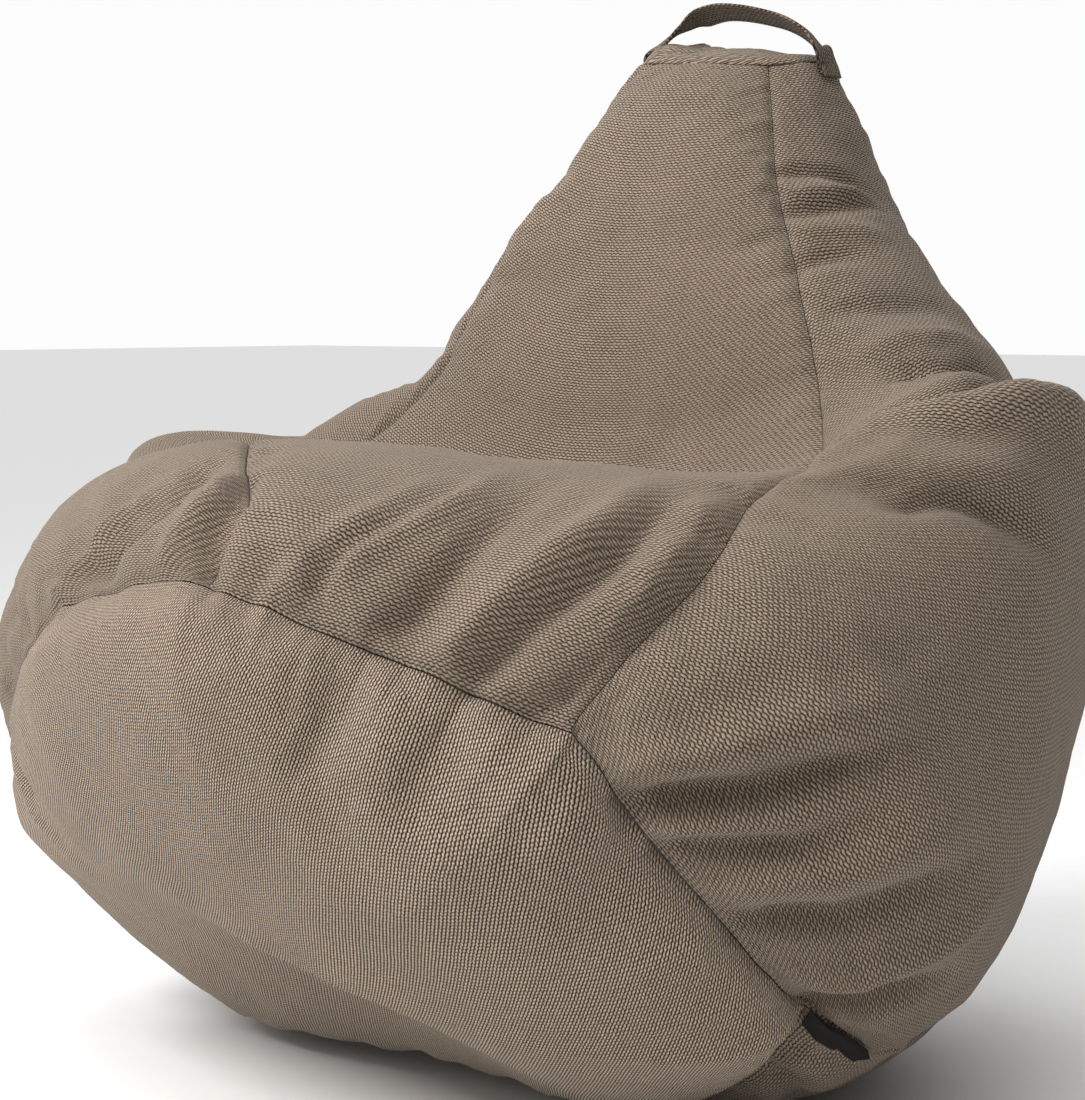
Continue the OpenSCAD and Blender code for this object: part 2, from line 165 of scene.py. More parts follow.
def ring_point(ring, angle, across, slump, tuck):
    """Point of a ring: round at the front, side and back points, flatter between the seams."""
    front, back = ring[:, 0:2], ring[:, 2:4]
    middle = (front + back) / 2
    side = ring[:, 5:7] - middle
    c, s = np.cos(angle), np.sin(angle)
    power = 2 / RING_FULLNESS
    flat = 1 - ring[:, 7] * (1 - math.cos(math.pi / 6) / np.cos((across - 0.5) * math.pi / 3))
    bow = (np.sign(c) * np.abs(c) ** power)[:, None]
    reach = np.where(c[:, None] > 0, front - middle, middle - back) * bow
    yz = middle + (reach + side * (s * s)[:, None]) * flat[:, None]
    x = ring[:, 4] * np.sign(s) * np.abs(s) ** power * flat
    x = x * (1 - np.where(s > 0, tuck[:, 0] * ease(0.25 - c), tuck[:, 1]))
    drop = np.where(s < 0, ARM_SLUMP * slump * s * s, 0)
    return np.stack([x, yz[:, 0], yz[:, 1] - drop], 1)


def body_point(t, g):
    angle = gore_angle(t, g)
    across = g - np.floor(g)
    slump = curve(SLUMP, t)[:, 0]
    away = np.degrees(np.arccos(np.clip(np.cos(angle), -1, 1)))
    sharp = (1 - ease((away - 100) / 50))[:, None]
    tuck = curve(TUCK, t)
    smooth = ring_point(curve(RINGS, t), angle, across, slump, tuck)
    return smooth + (ring_point(folded_curve(t), angle, across, slump, tuck) - smooth) * sharp


def seam_ring(t, count=24):
    return body_point(np.full(count, float(t)), np.arange(count) * SEAMS / count)


BASE_RING, CAP_RING = seam_ring(0), seam_ring(1)
BASE_MIDDLE, CAP_MIDDLE = BASE_RING.mean(0), CAP_RING.mean(0)


def facing(ring):
    """Unit vectors across, down and out of a ring whose points are a quarter of a gore apart."""
    across = unit(ring[8] - ring[20])
    down = unit(ring[14] - ring[2])
    return across, down, unit(np.cross(down, across))


BASE_ACROSS, BASE_DOWN, BASE_NORMAL = facing(BASE_RING)
CAP_NORMAL = -facing(CAP_RING)[2]


def base_point(u, g):
    rim = body_point(np.zeros(len(u)), g) - BASE_MIDDLE
    low = ease(0.15 + 0.85 * (unit(rim) @ BASE_DOWN))
    bulge = BASE_BULGE * (1 - BASE_TUCK * low) * np.maximum(1 - u ** 2.4, 0) ** 0.62
    return BASE_MIDDLE + rim * (u ** BASE_SPREAD)[:, None] + BASE_NORMAL * bulge[:, None]


def cap_point(u, g):
    rim = body_point(np.ones(len(u)), g)
    crown = CAP_CROWN * (1 - (1 - u) ** 2)
    return rim + (CAP_MIDDLE - rim) * u[:, None] + CAP_NORMAL * crown[:, None]


def skin(h, g):
    """Points of the skin, in metres. h is -1 at the middle of the base, 0 at the base seam, 1 at
    the top seam and 2 at the middle of the cap. g counts gores round the bag."""
    h, g = np.broadcast_arrays(np.asarray(h, float), np.asarray(g, float))
    shape = h.shape
    h, g = h.ravel(), g.ravel()
    p = body_point(np.clip(h, 0, 1), g)
    low, high = h < 0, h > 1
    if low.any():
        p[low] = base_point(1 + h[low], g[low])
    if high.any():
        p[high] = cap_point(h[high] - 1, g[high])
    p[:, 2] = np.maximum(p[:, 2], 0)
    return ((p + CENTRING) * MM).reshape(shape + (3,))


def skin_normal(h, g):
    h, g = np.broadcast_arrays(np.asarray(h, float), np.asarray(g, float))
    up = skin(np.minimum(h + 0.02, 1.99), g) - skin(np.maximum(h - 0.02, -0.99), g)
    around = skin(h, g + 0.08) - skin(h, g - 0.08)
    return unit(np.cross(around, up))


# ------------------------ folds, lumps and settling
# Folds of the cover: half width and height in millimetres, then points (h, g). A height below
# zero is a valley. Most start at the base seam, which gathers the gores.
FOLDS = [
    # front gore
    (12, -9, (0, 6.02), (0.03, 5.998), (0.08, 5.989), (0.14, 6.004), (0.2, 6.059)),
    (13, 8, (0.01, 0.182), (0.07, 0.232), (0.13, 0.341), (0.19, 0.411)),
    (12, 7, (0.04, 0.28), (0.1, 0.369), (0.16, 0.475), (0.25, 0.52)),
    (8, -5, (0.02, 0.268), (0.08, 0.311), (0.14, 0.427), (0.2, 0.473)),
    (15, -9, (0.01, 0.489), (0.06, 0.544), (0.14, 0.577), (0.24, 0.622)),
    (17, 12, (0.01, 0.642), (0.06, 0.692), (0.13, 0.739), (0.2, 0.787), (0.3, 0.81)),
    (13, -12, (0.01, 0.744), (0.08, 0.786), (0.14, 0.838), (0.22, 0.862), (0.3, 0.886)),
    (11, -7, (0, 0.86), (0.03, 0.936), (0.08, 0.952)),
    (12, 6, (0.1, 0.926), (0.2, 0.937), (0.32, 0.95)),
    # front right gore, on the lobe
    (19, 15, (0, 1.1), (0.08, 1.19), (0.15, 1.25), (0.26, 1.38), (0.33, 1.46)),
    (14, -17, (0.01, 1.22), (0.08, 1.28), (0.16, 1.34), (0.24, 1.43), (0.3, 1.5)),
    (11, 9, (0.01, 1.32), (0.09, 1.35), (0.18, 1.42)),
    (10, -9, (0.01, 1.39), (0.09, 1.4), (0.16, 1.43)),
    (17, 10, (0.03, 1.52), (0.09, 1.48), (0.17, 1.51), (0.26, 1.56)),
    (12, -13, (0.03, 1.63), (0.09, 1.57), (0.16, 1.58), (0.27, 1.63)),
    (14, 10, (0.04, 1.75), (0.11, 1.67), (0.2, 1.68), (0.28, 1.72)),
    (12, -11, (0.03, 1.88), (0.11, 1.77), (0.21, 1.78)),
    # the arm's roll over the right shoulder
    (11, -10, (0.38, 1.2), (0.405, 1.29), (0.415, 1.37), (0.42, 1.45), (0.425, 1.55)),
    (18, 6, (0.43, 1.2), (0.445, 1.35), (0.455, 1.52)),
    # front right gore, on the backrest
    (8, -6, (0.895, 1), (0.9, 1.2), (0.895, 1.45), (0.885, 1.62)),
    (8, -6, (0.86, 1), (0.862, 1.15), (0.872, 1.43), (0.88, 1.62)),
    (8, 4, (0.878, 1.08), (0.882, 1.32), (0.885, 1.58)),
    (9, -5, (0.81, 1), (0.812, 1.13), (0.813, 1.3)),
    (12, 4, (0.84, 1.05), (0.84, 1.25), (0.835, 1.5)),
    (13, -4, (0.76, 1.1), (0.752, 1.3), (0.76, 1.55)),
    (12, -11, (0.68, 1.2), (0.67, 1.39), (0.684, 1.64)),
    (15, 6, (0.715, 1.15), (0.71, 1.4), (0.72, 1.64)),
    # front left gore: a fan of folds over its end of the lobe
    (13, 7, (0.027, 5.721), (0.062, 5.788), (0.094, 5.849), (0.135, 5.898)),
    (11, -7, (0.042, 5.831), (0.067, 5.89), (0.12, 5.928), (0.177, 5.976)),
    (12, 7, (0.017, 5.95), (0.069, 5.96), (0.114, 5.977), (0.18, 6.036)),
    # the crease between the right arm and the backrest, and the arm's raised corner
    (15, 13, (0.44, 1.04), (0.487, 1.11), (0.492, 1.235), (0.505, 1.36), (0.52, 1.5), (0.53, 1.7),
     (0.53, 1.9)),
    (19, -22, (0.54, 1.0), (0.55, 1.2), (0.56, 1.4), (0.575, 1.6), (0.58, 1.8)),
    (20, 9, (0.625, 1.03), (0.635, 1.15), (0.63, 1.3), (0.635, 1.48), (0.64, 1.62)),
    (36, 15, (0.51, 1.45), (0.52, 1.6), (0.515, 1.72), (0.5, 1.85)),
    # the backrest's upper left edge and the cap's corner stand out under the strap
    (48, 11, (1.0, 6.0), (0.93, 6.0), (0.86, 5.99), (0.78, 5.97), (0.72, 5.95)),
    (30, 10, (1.5, 4.7), (1.25, 5.2), (1.15, 5.7), (1.1, 6.1)),
    # front left gore
    (14, -8, (0.01, 5.869), (0.06, 5.781), (0.14, 5.72), (0.22, 5.721)),
    (14, 8, (0.01, 5.711), (0.07, 5.625), (0.15, 5.613)),
    (14, -9, (0.02, 5.537), (0.09, 5.449), (0.18, 5.469)),
    (16, 7, (0.03, 5.308), (0.1, 5.266), (0.18, 5.295)),
    (13, -9, (0.4, 5.264), (0.44, 5.404), (0.43, 5.554)),
    (12, -7, (0.66, 5.15), (0.67, 5.35), (0.66, 5.6)),
    (9, -4, (0.84, 5.2), (0.845, 5.5), (0.84, 5.75)),
    # the back, where the bag bulges over its foot
    (14, -8, (0.03, 2.3), (0.1, 2.36), (0.18, 2.34)),
    (16, -8, (0.36, 2.2), (0.45, 2.32), (0.53, 2.36)),
    (18, 7, (0.4, 2.55), (0.5, 2.62), (0.6, 2.6)),
    (14, -7, (0.42, 2.8), (0.5, 2.84), (0.6, 2.82)),
    (15, -7, (0.44, 3.2), (0.52, 3.28), (0.6, 3.24)),
    (20, 6, (0.44, 3.5), (0.54, 3.52), (0.62, 3.48)),
    (13, -6, (0.42, 3.82), (0.5, 3.76), (0.56, 3.78)),
    (15, -8, (0.4, 4.45), (0.48, 4.4), (0.55, 4.46)),
    (16, 7, (0.36, 4.72), (0.45, 4.68), (0.56, 4.74)),
    (12, -7, (0.66, 2.15), (0.68, 2.45), (0.67, 2.8)),
    (13, -6, (0.64, 3.15), (0.66, 3.5), (0.65, 3.8)),
    (11, -7, (0.68, 4.35), (0.69, 4.6), (0.68, 4.85)),
    (9, -5, (0.85, 2.2), (0.86, 2.5), (0.85, 2.8)),
    (9, -5, (0.86, 3.2), (0.87, 3.6), (0.86, 3.85)),
    # base panel, under the base seam
    (22, -2, (-0.02, 0.44), (-0.1, 0.47), (-0.22, 0.5)),
    (26, 5, (-0.02, 0.58), (-0.12, 0.6), (-0.25, 0.62)),
    (20, -2, (-0.02, 0.78), (-0.1, 0.8), (-0.2, 0.82)),
    (20, 5, (-0.02, 1.12), (-0.1, 1.15), (-0.22, 1.16)),
    (24, -5, (-0.02, 1.35), (-0.12, 1.38), (-0.28, 1.42)),
    (24, 4, (-0.02, 1.7), (-0.14, 1.68), (-0.3, 1.66))]
FOLD_GAIN, FOLD_SHARPNESS = 1.3, 1.1
# A fold starts with this share of its height, and rises and fades over shares of its length
FOLD_START, FOLD_RISE, FOLD_FADE = 0.55, 0.2, 0.45
# Lumps of the fill: their height, their size and the seed of their noise
LUMPS = ((0.0022, 0.075, 3), (0.0011, 0.032, 5))

# The table that every cloth piece reads: rows of h from -1 to 2, columns of g round the bag
BASE_ROWS, BODY_ROWS, CAP_ROWS, COLUMNS = 90, 380, 30, 900
H_AXIS = np.concatenate([
    -1 + np.arange(BASE_ROWS) / BASE_ROWS,
    np.arange(BODY_ROWS) / BODY_ROWS,
    1 + np.arange(CAP_ROWS + 1) / CAP_ROWS])
G_AXIS = np.arange(COLUMNS) * SEAMS / COLUMNS


def noise(points, size, seed):
    """Smooth noise from -1 to 1 in lumps of one size, the same for each seed."""
    lattice = np.random.default_rng(seed).uniform(-1, 1, (32, 32, 32))
    x = points / size + 100
    i = np.floor(x).astype(int)
    f = x - i
    f = f * f * (3 - 2 * f)
    total = 0
    for corner in np.ndindex(2, 2, 2):
        weight = np.prod(np.where(np.array(corner) == 1, f, 1 - f), axis=-1)
        j = (i + corner) % 32
        total = total + weight * lattice[j[..., 0], j[..., 1], j[..., 2]]
    return total


def dense(points, step=0.004):
    """Places about one step apart on a smooth line through (h, g) points, with their shares of
    its length."""
    line = curve(np.array(points, float), np.linspace(0, 1, 200))
    places = skin(line[:, 0], line[:, 1])
    spots, run = evenly(places, max(8, int(lengths(places)[-1] / step)))
    return spots, run / run[-1]


def fold_relief(folds, table):
    """Height of all folds over the table's points, in metres."""
    relief = np.zeros(table.shape[:2])
    for half_width, height, *line in folds:
        spots, share = dense(line)
        reach = 3 * half_width * MM
        low, high = spots.min(0) - reach, spots.max(0) + reach
        inside = ((table > low) & (table < high)).all(-1)
        p = table[inside]
        best = np.full(len(p), np.inf)
        at = np.zeros(len(p))
        for spot, s in zip(spots, share):
            d = ((p - spot) ** 2).sum(1)
            nearer = d < best
            best[nearer] = d[nearer]
            at[nearer] = s
        across = best / (half_width * MM) ** 2
        taper = np.clip((1 - at) / FOLD_FADE, 0, 1) * np.clip(FOLD_START + at / FOLD_RISE, 0, 1)
        relief[inside] += FOLD_GAIN * height * MM * np.exp(-across * FOLD_SHARPNESS) * taper
    return relief


def table_read(values, h, g):
    """A table's values at h and g."""
    row = np.interp(h, H_AXIS, np.arange(len(H_AXIS)))
    return bilinear(values, row, (np.asarray(g) % SEAMS) * COLUMNS / SEAMS)


def seam_lines():
    """Points along every seam, about 5 mm apart."""
    h = np.linspace(0, 1, 240)
    lines = [skin(h, k - 1e-6) for k in range(SEAMS)]
    g = np.linspace(0, SEAMS, 500)
    lines += [skin(0, g), skin(1, g)]
    return np.concatenate(lines)


def tree_of(points):
    tree = KDTree(len(points))
    for i, p in enumerate(points):
        tree.insert(p, i)
    tree.balance()
    return tree


def new_mesh(name, points, faces):
    mesh = bpy.data.meshes.new(name)
    mesh.from_pydata(points.tolist(), [], faces.tolist() if hasattr(faces, "tolist") else faces)
    mesh.update()
    piece = bpy.data.objects.new(name, mesh)
    bpy.context.scene.collection.objects.link(piece)
    return piece


def grid_faces(rows, cols, joined=False):
    r, c = grid(np.arange(rows - 1), np.arange(cols if joined else cols - 1))
    a = r * cols + c
    b = r * cols + (c + 1) % cols
    return np.stack([a, b, b + cols, a + cols], -1).reshape(-1, 4)


def points_of(mesh):
    flat = np.zeros(len(mesh.vertices) * 3, np.float32)
    mesh.vertices.foreach_get("co", flat)
    return flat.reshape(-1, 3).astype(float)


CLOTH = dict(
    quality=5, mass=0.35, tension_stiffness=18, compression_stiffness=12, shear_stiffness=5,
    bending_stiffness=0.8, use_pressure=True, uniform_pressure_force=4,
    vertex_group_shrink="short", shrink_min=-0.035, shrink_max=0.05, vertex_group_mass="held",
    pin_stiffness=0.6)


def settled_shift(start_table, cap=0.012, voxel=0.011, frames=16):
    """Runs the whole closed cover as pressurised cloth with short seams, and gives how far each
    point of the table moved, but no further than the cap. Lengths are in metres."""
    seam_reach, floor_reach, loose = 0.014, 0.03, 0.10
    rows = np.unique(np.concatenate([np.arange(4, len(H_AXIS) - 1, 5), [len(H_AXIS) - 2]]))
    cols = np.arange(0, COLUMNS, 6)
    ring = start_table[np.ix_(rows, cols)]
    count = ring.shape[0] * ring.shape[1]
    faces = grid_faces(ring.shape[0], ring.shape[1], joined=True).tolist()
    faces.append(list(range(ring.shape[1]))[::-1])
    faces.append(list(range(count - ring.shape[1], count)))
    cover = new_mesh("settling", ring.reshape(-1, 3), faces)
    remesh = cover.modifiers.new("even", "REMESH")
    remesh.mode = "VOXEL"
    remesh.voxel_size = voxel
    bpy.context.view_layer.objects.active = cover
    cover.select_set(True)
    bpy.ops.object.modifier_apply(modifier="even")
    start = points_of(cover.data)
    seams = tree_of(seam_lines())
    near_seam = np.array([seams.find(p)[2] for p in start])
    short = np.exp(-(near_seam / seam_reach) ** 2)
    held = loose + 0.9 * ease((floor_reach - start[:, 2]) / floor_reach)
    for name, weights in (("short", short), ("held", held)):
        group = cover.vertex_groups.new(name=name)
        for i, w in enumerate(weights):
            group.add([i], float(w), "REPLACE")
    cloth = cover.modifiers.new("cloth", "CLOTH")
    for name, value in CLOTH.items():
        setattr(cloth.settings, name, value)
    cloth.settings.effector_weights.gravity = 0
    cloth.collision_settings.use_collision = False
    cloth.point_cache.frame_end = frames + 2
    scene = bpy.context.scene
    for f in range(1, frames + 1):
        scene.frame_set(f)
    shown = cover.evaluated_get(bpy.context.evaluated_depsgraph_get())
    end = points_of(shown.to_mesh())
    shown.to_mesh_clear()
    scene.frame_set(1)
    bpy.data.objects.remove(cover)
    shift = end - start
    length = np.linalg.norm(shift, axis=1, keepdims=True)
    shift *= np.minimum(1, cap / np.maximum(length, 1e-9))
    tree = tree_of(start)
    coarse = start_table[::4, ::4]
    moved = np.zeros(coarse.shape)
    for i, j in np.ndindex(coarse.shape[:2]):
        found = tree.find_n(coarse[i, j], 5)
        weight = np.array([1 / (d + 0.002) ** 2 for _, _, d in found])
        moved[i, j] = weight @ shift[[k for _, k, _ in found]] / weight.sum()
    return bilinear(closed(moved), *grid(np.arange(len(H_AXIS)) / 4, np.arange(COLUMNS) / 4))


def calm_near_hardware(table):
    """0 beside the zip, where the cover lies on stiff tape, and 1 well away from it."""
    line = skin(np.linspace(ZIP_LOW, ZIP_HIGH, 30), ZIP_SEAM - 1e-6)
    nearest = np.full(table.shape[:2], np.inf)
    for p in line:
        nearest = np.minimum(nearest, np.linalg.norm(table - p, axis=-1))
    return ease((nearest - 0.018) / 0.06)


def make_tables():
    """How far every point of the table moves from the skin, and how calm the cover is there."""
    h, g = grid(H_AXIS, G_AXIS)
    places, normals = skin(h, g), skin_normal(h, g)
    calm = calm_near_hardware(places)
    relief = fold_relief(FOLDS, places)
    relief += sum(lump * noise(places, size, seed) for lump, size, seed in LUMPS)
    relief *= calm
    shift = normals * relief[..., None]
    shift = shift + settled_shift(places + shift) * calm[..., None]
    return closed(shift), closed(calm)


SHIFT, CALM = make_tables()


def cloth_point(h, g, depth):
    """A point of the finished cover, that far below its surface."""
    p = skin(h, g) + table_read(SHIFT, h, g)
    return p - skin_normal(h, g) * np.asarray(depth)[..., None]


def on_floor(p, lift=0.0006):
    p = p.copy()
    p[..., 2] = np.maximum(p[..., 2], lift)
    return p


# ------------------------ materials
class Graph:
    """Short calls for nodes. Inputs go by name, with _ for a space."""

    def __init__(self, owner, shader):
        owner.use_nodes = True
        self.owner, self.nodes, self.links = owner, owner.node_tree.nodes, owner.node_tree.links
        self.shader = self.nodes[shader]

    def set(self, socket, value):
        if isinstance(value, bpy.types.NodeSocket):
            self.links.new(value, socket)
        else:
            socket.default_value = value

    def fill(self, node, **inputs):
        for name, value in inputs.items():
            self.set(node.inputs[name.replace("_", " ")], value)
        return node

    def node(self, kind, **inputs):
        return self.fill(self.nodes.new("ShaderNode" + kind), **inputs)

    def shade(self, **inputs):
        self.fill(self.shader, **inputs)

    def math(self, operation, a, b=None, c=None, clamp=False):
        n = self.node("Math")
        n.operation = operation
        n.use_clamp = clamp
        for socket, value in zip(n.inputs, (a, b, c)):
            if value is not None:
                self.set(socket, value)
        return n.outputs[0]

    def noise(self, vector, scale, detail=2.0, roughness=0.5):
        n = self.node("TexNoise", Vector=vector, Scale=scale, Detail=detail, Roughness=roughness)
        return n.outputs[0]

    def ramp(self, value, stops):
        n = self.node("ValToRGB")
        self.set(n.inputs[0], value)
        elements = n.color_ramp.elements
        while len(elements) < len(stops):
            elements.new(0.5)
        for element, (at, colour) in zip(elements, stops):
            element.position = at
            element.color = (*colour, 1)
        return n.outputs[0]

    def multiply(self, a, b):
        """The product of two colours."""
        n = self.node("Mix")
        n.data_type = "RGBA"
        n.blend_type = "MULTIPLY"
        for socket, value in zip((n.inputs[0], n.inputs[6], n.inputs[7]), (1.0, a, b)):
            self.set(socket, value)
        return n.outputs[2]

    def weave(self):
        n = self.node("Attribute")
        n.attribute_name = "weave"
        return n.outputs["Vector"]

    def place(self):
        return self.node("TexCoord").outputs["Object"]

    def split(self, vector):
        return self.node("SeparateXYZ", Vector=vector).outputs

    def bump(self, height, distance, strength):
        n = self.node("Bump", Strength=strength, Distance=distance, Height=height)
        self.shade(Normal=n.outputs[0])

    def wave(self, value):
        """A value from 0 to 1 that repeats once for each whole number."""
        turn = self.math("MULTIPLY", value, 2 * math.pi)
        return self.math("MULTIPLY_ADD", self.math("COSINE", turn), 0.5, 0.5)


def look(name):
    return Graph(bpy.data.materials.new(name), "Principled BSDF")


# Stitches of the cover: the width of one leg of yarn, and the height of one stitch
LEG, STITCH = 2.5 * MM, 4.9 * MM


def knit_material(name, dark, middle, light, sheen=0.25,
                  leg_width=LEG, stitch=STITCH, ribbed=0.35):
    """Chunky jersey, with painted shade in the gaps between its legs. The piece's weave attribute gives
    metres across the wales and along them.
    """
    m = look(name)
    place = m.place()
    x, y, _ = m.split(m.weave())
    uneven = m.math("SUBTRACT", m.noise(place, 55, 2), 0.5)
    wobble = m.math("SUBTRACT", m.noise(place, 170, 1), 0.5)
    p = m.math("MULTIPLY_ADD", x, 1 / leg_width, m.math("MULTIPLY", uneven, 0.55))
    q = m.math("MULTIPLY_ADD", y, 1 / stitch, m.math("MULTIPLY", wobble, 0.50))
    # neighbouring legs are half a stitch apart and slant opposite ways
    way = m.math("COSINE", m.math("MULTIPLY", m.math("FLOOR", p), math.pi))
    off_middle = m.math("SUBTRACT", m.math("FRACT", p), 0.5)
    leg = m.math("COSINE", m.math("MULTIPLY", off_middle, math.pi))
    lead = m.math("MULTIPLY", way, m.math("MULTIPLY_ADD", off_middle, 0.38, 0.25))
    strand = m.wave(m.math("ADD", q, lead))
    # painted shade darkens the gaps between the legs, deepest where a stitch ends; ribbed gaps run on
    # as lines
    gap = m.math("POWER", m.math("SUBTRACT", 1.0, leg), 1.25)
    slack = m.math("SUBTRACT", 1.0, strand)
    gap = m.math("MULTIPLY", gap, m.math("MULTIPLY_ADD", slack, 1.45 - ribbed, ribbed))
    fall = m.math("MULTIPLY_ADD", slack, 0.30, gap)
    yarn = m.math("SUBTRACT", 1.0, fall, clamp=True)
    fuzz = m.noise(place, 850, 3, 0.7)
    height = m.math("MULTIPLY_ADD", fuzz, 0.35, yarn)
    tone = m.math("MULTIPLY_ADD", m.math("SUBTRACT", fuzz, 0.5), 1.25, yarn, clamp=True)
    # the dark end of the ramp is painted shade in the gaps, the light end the yarn's own colour
    colour = m.ramp(tone, [(0.05, dark), (0.50, middle), (1.0, light)])
    patches = m.ramp(m.noise(place, 7, 3, 0.6), [(0.3, (0.90, 0.90, 0.91)), (0.7, (1.06, 1.05, 1.03))])
    m.shade(Base_Color=m.multiply(colour, patches),
            Roughness=m.math("MULTIPLY_ADD", yarn, -0.10, 0.97), Specular_IOR_Level=0.18,
            Sheen_Weight=sheen, Sheen_Roughness=0.45, Sheen_Tint=(0.80, 0.72, 0.64, 1))
    m.bump(height, 1.1 * MM, 0.8)
    return m.owner


def woven_material(name, dark, light, pitch, from_weave=True):
    """Plain weave of crossing threads, with painted shade darkening the low places between them."""
    m = look(name)
    place = m.place()
    x, y, z = m.split(m.weave() if from_weave else place)
    if not from_weave:
        x, y = m.math("ADD", x, y), m.math("ADD", z, m.math("MULTIPLY", y, 0.3))
    across, along = (m.wave(m.math("MULTIPLY", value, 1 / pitch)) for value in (x, y))
    over = m.math("ABSOLUTE", m.math("SUBTRACT", across, along))
    fine = m.noise(place, 1400, 2)
    tone = m.math("MULTIPLY_ADD", fine, 0.35, m.math("MULTIPLY", over, 0.75), clamp=True)
    m.shade(Base_Color=m.ramp(tone, [(0.1, dark), (0.9, light)]), Roughness=0.9,
            Specular_IOR_Level=0.2)
    m.bump(tone, pitch * 0.25, 0.8)
    return m.owner


def metal_material(name, colour):
    m = look(name)
    scratches = m.noise(m.place(), 600, 4, 0.7)
    darker = tuple(c * 0.7 for c in colour)
    m.shade(Base_Color=m.ramp(scratches, [(0.3, darker), (0.7, colour)]), Metallic=1.0,
            Roughness=m.math("MULTIPLY_ADD", scratches, 0.25, 0.28))
    m.bump(scratches, 0.05 * MM, 0.4)
    return m.owner


def nylon_material(name, dark, light):
    """Moulded nylon with fine ribs, and painted shade darkening the troughs between them."""
    m = look(name)
    place = m.place()
    _, _, z = m.split(place)
    ribs = m.wave(m.math("MULTIPLY", z, 1 / (1.3 * MM)))
    m.shade(Base_Color=m.ramp(ribs, [(0.1, dark), (0.9, light)]),
            Roughness=m.math("MULTIPLY_ADD", m.noise(place, 500), 0.2, 0.38))
    m.bump(ribs, 0.5 * MM, 0.8)
    return m.owner


def bead_material(name):
    m = look(name)
    # the grey towards each bead's edge is painted shade between the beads
    d = m.node("TexVoronoi", Vector=m.place(), Scale=250).outputs["Distance"]
    m.shade(Base_Color=m.ramp(d, [(0.1, (0.86, 0.86, 0.84)), (0.8, (0.5, 0.5, 0.5))]),
            Roughness=0.7)
    m.bump(m.math("SUBTRACT", 1.0, d), 2 * MM, 0.9)
    return m.owner


COVER = knit_material("cover_knit", (0.006, 0.004, 0.003),
                      (0.086, 0.062, 0.044), (0.33, 0.258, 0.193))
# Knit of the base panel: its own finer, ribbed stitch, with colours lighter than the gores' knit as
# painted light on the side that faces the lamps
LIT_COVER_BASE = knit_material("cover_knit_base_lit", (0.004, 0.003, 0.002),
                           (0.112, 0.081, 0.058), (0.52, 0.41, 0.31),
                           leg_width=2.3 * MM, stitch=3.6 * MM, ribbed=0.85)
STRAP = knit_material("strap_knit", (0.010, 0.007, 0.005),
                      (0.075, 0.055, 0.040), (0.19, 0.148, 0.112), sheen=0.15)
LABEL = woven_material("label_weave", (0.004, 0.004, 0.004), (0.022, 0.020, 0.019), 0.8 * MM)
ZIP_TAPE = woven_material("zip_tape_weave", (0.11, 0.085, 0.065), (0.24, 0.19, 0.145), 0.7 * MM, False)
LINER = woven_material("liner_weave", (0.45, 0.43, 0.40), (0.76, 0.74, 0.70), 0.6 * MM, False)
ZIP_NYLON = nylon_material("zip_nylon", (0.07, 0.052, 0.04), (0.20, 0.155, 0.12))
ZIP_METAL = metal_material("zip_metal", (0.48, 0.46, 0.44))
BEADS = bead_material("bead_foam")


# ------------------------ panels of the cover
COVER_THICK = 2.6 * MM
# The base panel's wales lean from the fall line by this angle
BASE_GRAIN = math.cos(math.radians(18)), math.sin(math.radians(18))
# How far the middle of the cap sinks
CAP_DIP = 5 * MM
# At a seam the panel sinks in a narrow groove and a wider roll, and is gathered
SEAM_DEPTH, SEAM_WIDTH = 5.0 * MM, 5.5 * MM
PILLOW, PILLOW_WIDTH = 4.0 * MM, 34 * MM
PUCKER, PUCKER_REACH = 1.9 * MM, 24 * MM
# Lengths and weights of the waves that add up to the gathers
PUCKER_WAVES = ((0.061, 0.8), (0.037, 0.9), (0.023, 0.6), (0.0145, 0.35))
# The base and cap seams: their number, metres for each gore, and gathering of the round panel
BASE_SEAM, BASE_GORE, BASE_GATHER = 11, 0.42, 0.65
CAP_SEAM, CAP_GORE, CAP_GATHER = 13, 0.1, 0.6
# Half the gap between gores, reach of the base and cap seams along the gores' own seams, and
# least height of a panel's inner face
GORE_GAP, SEAM_END, INNER_LIFT = 0.0004, 9 * MM, 0.0012


def puckers(along, seam):
    """Gathers along a seam, from -1 to 1, from waves of a few lengths."""
    total = 0
    for wavelength, weight in PUCKER_WAVES:
        total = total + weight * np.sin(2 * math.pi * along / wavelength + 7.3 * seam + 90 * wavelength)
    return total / 1.9


def seam_profile(distance, along, seam, gathered=1.0):
    """How far the panel's surface stands out at a distance from one seam."""
    edge = -SEAM_DEPTH * np.exp(-(distance / SEAM_WIDTH) ** 1.4)
    pillow = -PILLOW * np.exp(-(distance / PILLOW_WIDTH) ** 1.2)
    reach = np.exp(-distance / PUCKER_REACH) * (1 - 0.5 * np.exp(-distance / (3 * MM)))
    return edge + pillow + gathered * PUCKER * puckers(along, seam) * reach


def solid_sheet(name, outer, inner):
    """A sheet with thickness from two grids of points, joined round their edges."""
    rows, cols = outer.shape[:2]
    count = rows * cols
    top = grid_faces(rows, cols)
    points = np.concatenate([outer.reshape(-1, 3), inner.reshape(-1, 3)])
    r, c = np.arange(rows), np.arange(cols)
    edge = np.concatenate([c, r[1:] * cols + cols - 1,
                           (rows - 1) * cols + c[:-1][::-1], r[1:-1][::-1] * cols])
    following = np.roll(edge, -1)
    rim = np.stack([edge + count, following + count, following, edge], -1)
    return new_mesh(name, points, np.concatenate([top, top[:, ::-1] + count, rim]))


